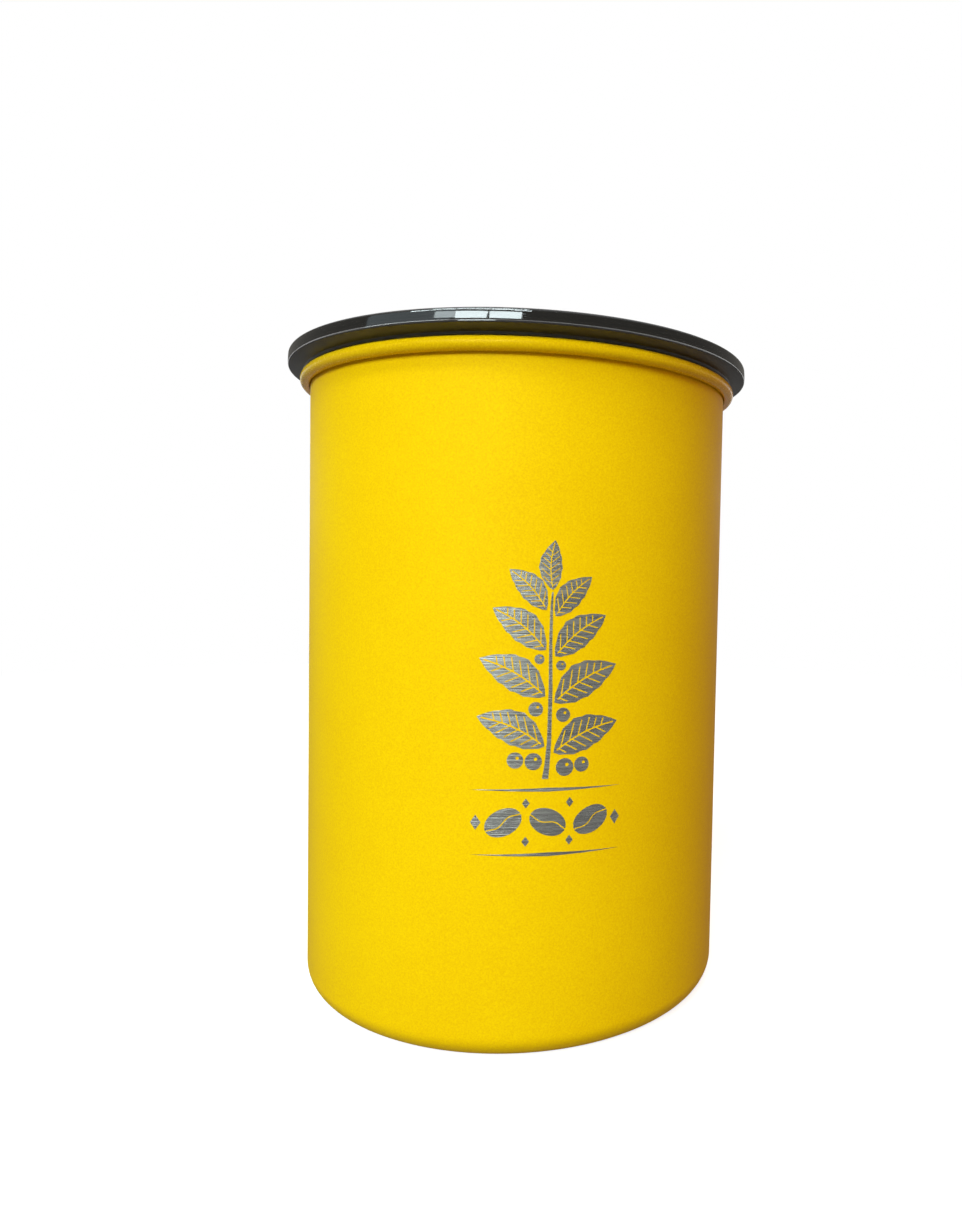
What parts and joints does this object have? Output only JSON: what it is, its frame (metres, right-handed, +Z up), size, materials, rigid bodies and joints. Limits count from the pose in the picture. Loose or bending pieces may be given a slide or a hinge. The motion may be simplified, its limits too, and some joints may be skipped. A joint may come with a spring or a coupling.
{
  "type": "airtight coffee canister",
  "caption": "Steel coffee canister with a smoked press-on lid and a sliding inner lid whose folding handle opens an air valve.",
  "frame": {"origin": "centre of the base, on the surface that the canister stands on", "axes": "+Z up along the can's axis, -Y towards the front with the etched design, +X to the right of someone facing it"},
  "size_m": [0.1324, 0.1324, 0.1778],
  "materials": {
    "powder_coated_steel": "satin powder coat with a fine grain outside, bare drawn steel inside",
    "smoked_plastic": "dark smoked transparent, glossy",
    "charcoal_plastic": "fine moulded grain",
    "handle_plastic": "satin moulded",
    "silicone": "soft matte, milky grey",
    "bare_steel": "fine drawn wire and turned pins"
  },
  "bodies": {
    "can": {"canister_body": "powder_coated_steel"},
    "lid": {"outer_lid": "smoked_plastic"},
    "plunger": {"inner_lid_base": "charcoal_plastic", "inner_lid_cover": "charcoal_plastic", "wiper_gasket": "silicone", "handle_pivot_pins": "bare_steel", "valve_spring": "bare_steel"},
    "bail": {"handle": "handle_plastic"},
    "valve": {"valve_stem": "handle_plastic", "valve_disc": "charcoal_plastic", "valve_seal": "silicone"}
  },
  "joints": [
    {"name": "outer_lid_lift", "type": "slide", "parent": "can", "child": "lid", "axis": [0, 0, 1], "range_m": [0, 0.06]},
    {"name": "plunger_slide", "type": "slide", "parent": "can", "child": "plunger", "axis": [0, 0, 1], "range_m": [-0.0932, 0.008]},
    {"name": "handle_flip", "type": "hinge", "parent": "plunger", "child": "bail", "pos_m": [0, 0, 0.1276], "axis": [-1, 0, 0], "range_deg": [0, 90]},
    {"name": "valve_slide", "type": "slide", "parent": "plunger", "child": "valve", "axis": [0, 0, -1], "range_m": [0, 0.003], "deforming": ["valve_spring"]}
  ],
  "couplings": [
    {"joint": "valve_slide", "follows": "handle_flip", "m_per_rad": 0.0019098}
  ]
}
